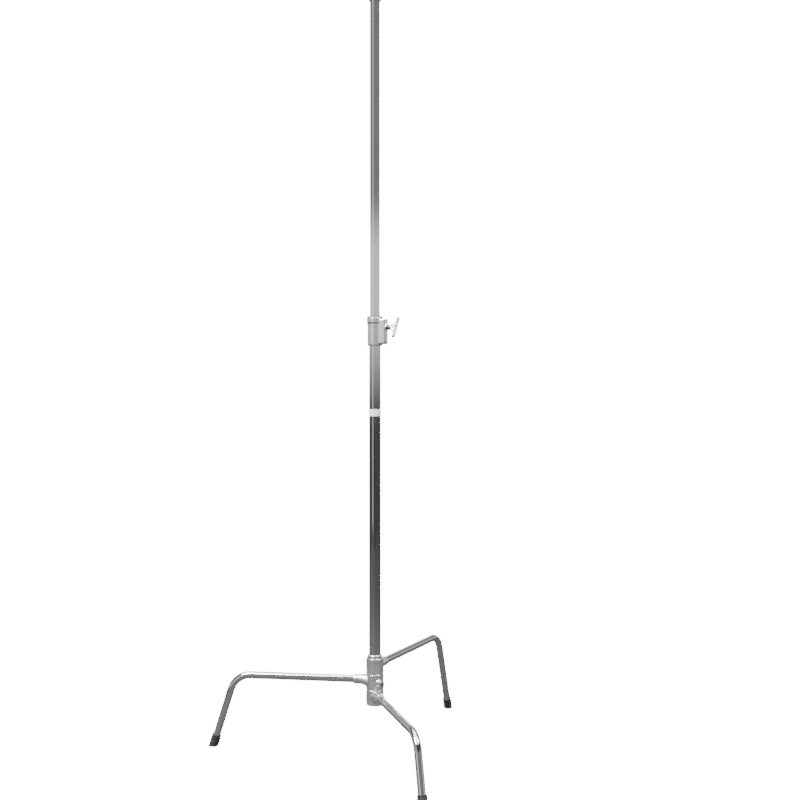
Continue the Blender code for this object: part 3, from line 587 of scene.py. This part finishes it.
def clamp(prefix, socket_r, tube_r, height):
    """Collar, bushing, screw and T-handle of one clamp. height is the collar's underside."""
    sleeve, h = socket_r + COLLAR_WALL, COLLAR_H
    tip = sleeve + LUG_REACH
    face = tip + BOSS_LENGTH
    place = on_stand(height, CLAMP_AZIMUTH)
    clamp_place = on_stand(height + CLAMP_Z, CLAMP_AZIMUTH)

    body = turned([(0, 0), (sleeve, 0, 0.0030), (sleeve, h - 0.0185), (sleeve + 0.0018, h - 0.0155),
                   (sleeve + 0.0018, h, 0.0014), (0, h)])
    lug = block((0.004, -0.0118, 0.0040), (tip, 0.0118, h - 0.0040), 0.0052, 5)
    for v in lug.verts:
        share = max(0.0, min(1.0, (v.co.x - sleeve) / LUG_REACH))
        v.co.y *= 1.16 - 0.30 * share
    radial = (LIE, shift(z=CLAMP_Z))
    boss = put(turned([(0, sleeve), (BOSS_R, sleeve), (BOSS_R, face, 0.0012), (0, face)]), *radial)
    past = 0.004
    bores = [bar(socket_r + GAP, -past, SOCKET_DEPTH, 0.0), bar(tube_r + 0.0019, 0.038, h + past, 0.0)]
    bores.append(put(bar(PAD_R + GAP, 0.0, sleeve + 0.007, 0.0, 48), *radial))
    bores.append(put(bar(SCREW_R + GAP, 0.0, face + past, 0.0, 48), *radial))
    seat_r, seat = BOSS_R - 0.0014, face - 0.0004
    bores.append(put(turned([(0, seat), (seat_r, seat), (seat_r, face + past), (0, face + past)]), *radial))
    rim_in, rim_out, rim = tube_r + 0.001, sleeve + 0.0003, h - 0.0006
    bores.append(turned([(rim_in, rim), (rim_out, rim), (rim_out, h + past), (rim_in, h + past)], True))
    piece(prefix + "_collar", put([body, lug, boss], place), [put(b, place) for b in bores], 0.0008, 9)

    inner, top = tube_r + 0.00015, h + GAP
    sleeve_r, flange_r = inner + 0.0014, inner + 0.0045
    outline = [(inner, top - 0.020), (sleeve_r, top - 0.020), (sleeve_r, top - 0.0006)]
    outline += [(flange_r, top - 0.0006), (flange_r, top + 0.0022, 0.0009), (inner, top + 0.0022, 0.0008)]
    piece(prefix + "_bushing", put(turned(outline, True), place))

    start = tube_r + 0.0088
    screw = threaded(SCREW_R, start, face + HANDLE_OFFSET + 0.010)
    piece(prefix + "_clamp_screw", put(screw, LIE, clamp_place))
    t_handle(prefix + "_t_handle", face, clamp_place)


def t_handle(node, face, place):
    """Cast T-handle: round hub, flared web and a waisted bar with domed ends."""
    start, middle = face + HANDLE_OFFSET, face + BAR_OFFSET
    half = BAR_LENGTH / 2
    hub = put(turned([(0, start), (0.0084, start, 0.0012), (0.0086, start + 0.0055, 0.0008),
                      (0.0072, start + 0.0085, 0.0010), (0.0066, middle), (0, middle)]), LIE)
    web = block((start + 0.007, -0.0058, -0.0100), (middle + 0.001, 0.0058, 0.0100), 0.0)
    for v in web.verts:
        if v.co.x > middle:
            v.co.z *= 1.9
            v.co.y *= 0.78
    bmesh.ops.bevel(web, geom=web.edges, offset=0.0026, segments=3, affect="EDGES", profile=0.5, material=-1)
    dome = 0.0050
    grip = [(0, -half), (BAR_R, -half, dome), (BAR_R * 0.90, 0.0, 0.0150), (BAR_R, half, dome), (0, half)]
    grip = put(turned(grip), shift(x=middle))
    outside, mouth_r, mouth_end = start - 0.004, 0.0072, start + 0.0004
    socket = put(bar(SCREW_R + GAP, outside, start + 0.0123, 0.0, 48), LIE)
    mouth = put(turned([(0, outside), (mouth_r, outside), (mouth_r, mouth_end), (0, mouth_end)]), LIE)
    turn = place @ Matrix.Rotation(BAR_TURN, 4, "X")
    cutters = [put(mouth, turn), put(socket, turn)]
    # painted shade: the T-handle takes the darker copy of the collars' plate, which dims the lights'
    # highlight on its bar
    piece(node, put([hub, web, grip], turn), cutters, 0.00055, 9, DARK_CASTING_AND_SHADE)


# ---------------------------------------------------------------- hub and legs

def ring_middle(index):
    return HUB_Z + RING_PITCH * (index + 0.5)


def stepped_drill(first, second, end):
    """Cutter along Z of two radii. first and second say (radius, where that radius starts)."""
    (r1, z1), (r2, z2) = first, second
    return turned([(0, z1), (r1, z1), (r1, z2), (r2, z2), (r2, end), (0, end)], False, 48)


def leg(index):
    """Ring, bent tube, pin and foot of one leg."""
    name, azimuth, rise, reach = LEGS[index]
    place = on_stand(ring_middle(index), azimuth)
    half = RING_HALF

    body = turned([(0, -half), (RING_R, -half, 0.0016), (RING_R, half, 0.0016), (0, half)])
    neck = [(0, 0.004), (0.0198, 0.004), (0.0196, 0.0200), (0.0181, 0.0265, 0.003), (0.0163, 0.0320, 0.003)]
    neck += [(0.0150, 0.0390, 0.004), (0.0144, 0.0500, 0.004), (0.0143, 0.0600), (0.0141, SOCKET_END, 0.0016)]
    neck = put(turned(neck + [(0, SOCKET_END)]), LIE)
    for v in neck.verts:
        share = max(0.25, min(1.0, (v.co.x - 0.016) / 0.022))
        v.co.z = max(-half + 0.0008, min(half - 0.0004, v.co.z + rise * share))
    shapes = [body, neck]
    cutters = [bar(COLUMN_R + GAP, -0.05, 0.05, 0.0)]
    cutters.append(put(bar(LEG_R + 0.0002, SOCKET_START, SOCKET_END + 0.004, 0.0, 64), LIE, shift(z=rise)))
    cutters.append(put(bar(PIN_R + 0.0002, -0.03, 0.03, 0.0, 32), ACROSS, shift(x=LEG_PIN_X, z=rise)))
    if index == 0:
        cutters.append(put(stepped_drill((0.0051, -0.035), (0.0027, -0.0232), 0.0), LIE))
    if index == 1:
        turn = swing(LOCK_AZIMUTH - azimuth)
        boss = [(0, 0.004), (0.0108, 0.004), (0.0105, RING_R - 0.002), (LOCK_BOSS_R, RING_R + 0.003, 0.002)]
        boss += [(LOCK_BOSS_R, LOCK_BOSS_END, 0.0012), (0, LOCK_BOSS_END)]
        shapes.append(put(turned(boss), LIE, turn))
        cutters.append(put(stepped_drill((0.0029, 0), (0.0048, 0.0215), 0.041), LIE, turn))
    faces = []
    land_in, land_out = COLUMN_R - 0.001, RING_R - 0.0016
    for z0, z1 in ((half - 0.0001, half + 0.004), (-half - 0.004, -half + 0.0001)):
        faces.append(turned([(land_in, z0), (land_out, z0), (land_out, z1), (land_in, z1)], True))
    piece("leg_ring_" + name, put(shapes, place), [put(c, place) for c in cutters + faces], 0.0009, 8)

    piece("leg_tube_" + name, put(bent_tube(index), place))
    pin = put(roll_pin(PIN_R, LEG_R + 0.0030), ACROSS, shift(x=LEG_PIN_X, z=rise), place)
    piece("leg_pin_" + name, pin)
    piece("foot_" + name, put(foot(reach), swing(azimuth), shift(AXIS.x, AXIS.y)))


def bent_tube(index):
    """Level run, one bend, then down into the foot, in the ring's own frame."""
    rise, reach = LEGS[index][2:]
    height = ring_middle(index) + rise
    knee = reach - height / math.tan(LEG_DROP)
    setback = LEG_BEND_R * math.tan(LEG_DROP / 2)
    bm = bmesh.new()
    bmesh.ops.create_circle(bm, segments=64, radius=LEG_R)
    put(bm, LIE, shift(x=SOCKET_START + GAP, z=rise))

    def extend(edges, run):
        """Draw the rim out, with a short step at each end that keeps the shading straight."""
        for share in (0.01, 0.98, 0.01):
            grown = bmesh.ops.extrude_edge_only(bm, edges=edges)["geom"]
            moved = [v for v in grown if isinstance(v, bmesh.types.BMVert)]
            bmesh.ops.translate(bm, verts=moved, vec=Vector(run) * share)
            edges = [e for e in grown if isinstance(e, bmesh.types.BMEdge)]
        return moved + edges

    rim = extend(bm.edges[:], (knee - setback - SOCKET_START - GAP, 0, 0))
    bend = bmesh.ops.spin(bm, geom=rim, axis=(0, 1, 0), cent=(knee - setback, 0, rise - LEG_BEND_R),
                          angle=LEG_DROP, steps=28)["geom_last"]
    down = Vector((math.cos(LEG_DROP), 0, -math.sin(LEG_DROP)))
    far = Vector((reach, 0, rise - height)) - down * (FOOT_SOLE + GAP)
    bend_end = Vector((knee, 0, rise)) + down * setback
    extend([e for e in bend if isinstance(e, bmesh.types.BMEdge)], far - bend_end)
    bmesh.ops.holes_fill(bm, edges=[e for e in bm.edges if e.is_boundary])
    return tidy(bm)


def foot(reach):
    """Moulded boot with grip ribs and a flat sole."""
    bore = LEG_R + 0.00015
    outline = [(0, -0.02), (FOOT_R, -0.02)]
    for k in range(GRIP_GROOVES):
        z = 0.0085 + 0.0042 * k
        outline += [(FOOT_R, z - 0.0009, 0.0003), (FOOT_R - 0.0009, z - 0.0004, 0.0003)]
        outline += [(FOOT_R - 0.0009, z + 0.0004, 0.0003), (FOOT_R, z + 0.0009, 0.0003)]
    lip_r = FOOT_R - 0.0004
    outline += [(FOOT_R, 0.0270, 0.0020), (FOOT_R - 0.0008, 0.0315, 0.001), (lip_r, 0.0325, 0.0004)]
    outline += [(lip_r, FOOT_H, 0.0009), (bore, FOOT_H, 0.0006), (bore, FOOT_SOLE), (0, FOOT_SOLE)]
    bm = turned(outline)
    put(bm, Matrix.Rotation(-(math.pi / 2 - LEG_DROP), 4, "Y"), shift(x=reach))
    everything = bm.verts[:] + bm.edges[:] + bm.faces[:]
    sliced = bmesh.ops.bisect_plane(bm, geom=everything, plane_co=(0, 0, 0), plane_no=(0, 0, -1),
                                    clear_outer=True)
    rim = [e for e in sliced["geom_cut"] if isinstance(e, bmesh.types.BMEdge)]
    bmesh.ops.edgeloop_fill(bm, edges=rim)
    return tidy(bm)


def hub_fixings():
    """Hub screw, washer, clamp collar and its set screw."""
    opposite = LEGS[0][1] + math.pi
    seat = RING_R - 0.0030
    tip, head_r, head_end = 0.0162, 0.0048, seat + 0.0034
    screw = [(0, tip), (PIN_R, tip), (PIN_R, seat + GAP), (head_r, seat + GAP)]
    screw += [(head_r, head_end, 0.0009), (0, head_end)]
    place = on_stand(ring_middle(0), opposite)
    piece("hub_screw", put(turned(screw, False, 48), LIE, place),
          [put(hexagon(0.0030, seat + 0.0012, seat + 0.006), LIE, place)])

    low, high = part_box("hub_washer")
    piece("hub_washer", put(tube(WASHER_R, COLUMN_R + GAP, low.z, high.z, 0.00025), on_stand(0)))

    low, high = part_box("hub_collar")
    middle = (low.z + high.z) / 2 - 0.001
    inner = COLUMN_R + 0.0001
    outline = [(inner, low.z, 0.0003), (HUB_COLLAR_R, low.z, 0.0005)]
    outline += [(HUB_COLLAR_R, high.z - 0.0030, 0.0008), (HUB_COLLAR_R - 0.0016, high.z, 0.0008)]
    outline.append((inner, high.z, 0.0004))
    azimuth = math.radians(-15.0)
    drill = put(bar(0.0023, 0.010, 0.030, 0.0, 32), LIE, on_stand(middle, azimuth))
    piece("hub_collar", put(turned(outline, True), on_stand(0)), [drill])
    screw = bar(0.0020, COLUMN_R + 0.0006, HUB_COLLAR_R - 0.0004, 0.0003, 32)
    place = on_stand(middle, azimuth)
    piece("hub_set_screw", put(screw, LIE, place),
          [put(hexagon(0.0016, HUB_COLLAR_R - 0.0018, HUB_COLLAR_R + 0.004), LIE, place)])


def lock():
    """Spring plunger in the middle ring: pin, bushing and knurled knob."""
    place = on_stand(ring_middle(1), LOCK_AZIMUTH)
    tip, stop = COLUMN_R + 0.0004, 0.0218
    end = LOCK_BOSS_END + 0.0008 + 0.0098
    collar_r, collar_end, tail = 0.0045, stop + 0.0015, end - 0.003
    pin = [(0, tip), (LOCK_PIN_R, tip, 0.0006), (LOCK_PIN_R, stop), (collar_r, stop, 0.0002)]
    pin += [(collar_r, collar_end), (LOCK_PIN_R, collar_end), (LOCK_PIN_R, tail), (0, tail)]
    piece("lock_pin", put(turned(pin, False, 48), LIE, place))
    bushing = tube(collar_r, LOCK_PIN_R + 0.0002, LOCK_BOSS_END - 0.003, LOCK_BOSS_END + 0.0002, 0.0003, 48)
    piece("lock_bushing", put(bushing, LIE, place))
    r, start = 0.0075, LOCK_BOSS_END + 0.0008
    waist_r = r - 0.0016
    knob = [(0, end - 0.0004), (0.0030, end - 0.0004, 0.0005), (0.0036, end, 0.0004), (r, end, 0.0010)]
    knob += [(r, end - 0.0048, 0.0006), (waist_r, end - 0.0058, 0.0008), (waist_r, start + 0.0010, 0.0006)]
    knob += [(r - 0.0022, start, 0.0003), (0.0029, start), (0.0029, end - 0.0028), (0, end - 0.0028)]
    bm = turned(knob, False, 192)
    for v in bm.verts:
        if math.hypot(v.co.x, v.co.y) > r - 0.0004 and v.co.z > end - 0.0050:
            ridge = 1.0 - 0.018 * (1.0 + math.cos(KNURLS * math.atan2(v.co.y, v.co.x)))
            v.co.x *= ridge
            v.co.y *= ridge
    # the knob takes the same darker casting copy as its darker finish
    piece("lock_knob", put(bm, LIE, place), look=DARK_CASTING_AND_SHADE)


column()
drill = stud()
riser("riser_1_tube", RISER_1_R)
riser("riser_2_tube", RISER_2_R, drill)
for prefix, socket_r, tube_r in (("lower", COLUMN_R, RISER_1_R), ("upper", RISER_1_R, RISER_2_R)):
    clamp(prefix, socket_r, tube_r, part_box(prefix + "_collar")[0].z)
for index in range(3):
    leg(index)
hub_fixings()
lock()

for node, made in frame["nodes"].items():
    made.data.materials.clear()
    made.data.materials.append(LOOKS[slot_of_node[node]])


# ---------------------------------------------------------------- studio

WHITE = 18.0  # brightness of the floor and backdrop, well into the film's white
CAMERA_DISTANCE, CAMERA_HEIGHT = 3.4, 1.123


def studio():
    """Floor that is plain white to the eye and dim in the mirror of the plate."""
    bm = bmesh.new()
    bmesh.ops.create_grid(bm, x_segments=1, y_segments=1, size=4.0)
    made = bpy.data.materials.new("white_floor_painted_pool")
    made.use_nodes = True
    g = Graph(made.node_tree)
    shader = made.node_tree.nodes["Principled BSDF"]
    fibre = g.noise(60.0, 4.0, 0.6)
    paper = g.mix(fibre, (0.034, 0.034, 0.034), (0.040, 0.040, 0.040))
    # Painted pool of light: the floor's colour fades from a dim grey by the stand to near black 2.6 m away,
    # so the plate mirrors it dimmer further out.
    reach = g.node("ShaderNodeVectorMath", {"operation": "LENGTH"}, [g.place()], "Value")
    g.join(shader.inputs["Base Color"], g.mix(reach.between(0.25, 2.6), paper, (0.006, 0.006, 0.006)))
    shader.inputs["Roughness"].default_value = 0.9
    glow = g.node("ShaderNodeEmission", None, [], 0, Color=(1.0, 1.0, 1.0), Strength=WHITE)
    seen = g.node("ShaderNodeLightPath", output="Is Camera Ray")
    blend = g.node("ShaderNodeMixShader", None, [seen * 0.93, Wire(g, shader.outputs[0]), glow])
    g.join(made.node_tree.nodes["Material Output"].inputs["Surface"], blend)
    floor = mesh_object("studio_floor", [bm], [made])
    floor.location = (AXIS.x, AXIS.y, -0.0002)


def world():
    """Even white to the camera; to everything else a dim studio with a pale backdrop and soft bands."""
    made = bpy.data.worlds.new("studio_world")
    made.use_nodes = True
    bpy.context.scene.world = made
    g = Graph(made.node_tree)
    where = g.node("ShaderNodeTexCoord", output="Generated")
    parts = g.node("ShaderNodeSeparateXYZ", None, [where], 0)
    x, y, z = (Wire(g, parts.socket.node.outputs[i]) for i in range(3))
    backdrop = y.between(0.88, 0.99)
    window = z.between(-0.045, 0.075) * (1.0 - z.between(0.105, 0.172))
    upper = z.between(0.13, 0.18) * (1.0 - z.between(0.36, 0.46))
    roof = z.between(0.70, 0.95)
    leftward = 0.0 - x
    left = leftward.between(0.42, 0.60) * (1.0 - leftward.between(0.72, 0.90))
    left = left * (1.0 - y.between(-0.30, 0.30))
    sides = y.between(0.25, 0.95)
    level = 0.09 + window * 1.08 + upper * 0.22 + roof * 3.0 + sides * 0.38 + left * 0.60
    level = level * (1.0 - backdrop) + backdrop * 4.0
    seen = g.node("ShaderNodeLightPath", output="Is Camera Ray")
    strength = level * (1.0 - seen) + seen * WHITE
    background = made.node_tree.nodes["Background"]
    background.inputs["Color"].default_value = (1.0, 1.0, 1.0, 1.0)
    g.join(background.inputs["Strength"], strength)


def softbox(name, place, target, width, height, power):
    """Large soft light that the camera doesn't see."""
    data = bpy.data.lights.new(name, "AREA")
    data.shape, data.size, data.size_y, data.energy = "RECTANGLE", width, height, power
    lamp = bpy.data.objects.new(name, data)
    lamp.location = place
    lamp.rotation_euler = (Vector(target) - Vector(place)).to_track_quat("-Z", "Y").to_euler()
    lamp.visible_camera = False
    bpy.context.scene.collection.objects.link(lamp)


def camera():
    data = bpy.data.cameras.new("camera")
    data.lens, data.sensor_width = 51.0, 36.0
    data.shift_x, data.shift_y = 0.0314, -0.0266
    made = bpy.data.objects.new("camera", data)
    made.location = (AXIS.x, AXIS.y - CAMERA_DISTANCE, CAMERA_HEIGHT)
    made.rotation_euler = (math.pi / 2, 0.0, 0.0)
    bpy.context.scene.collection.objects.link(made)
    bpy.context.scene.camera = made


studio()
world()
softbox("key_softbox", (-2.9, -2.3, 5.0), (0.12, 0.0, 1.1), 2.6, 2.6, 1150.0)
softbox("fill_softbox", (3.0, -1.2, 5.0), (0.12, 0.0, 1.0), 2.4, 2.4, 560.0)
softbox("top_softbox", (0.12, 0.6, 5.4), (0.12, 0.0, 0.0), 2.2, 2.2, 120.0)
camera()
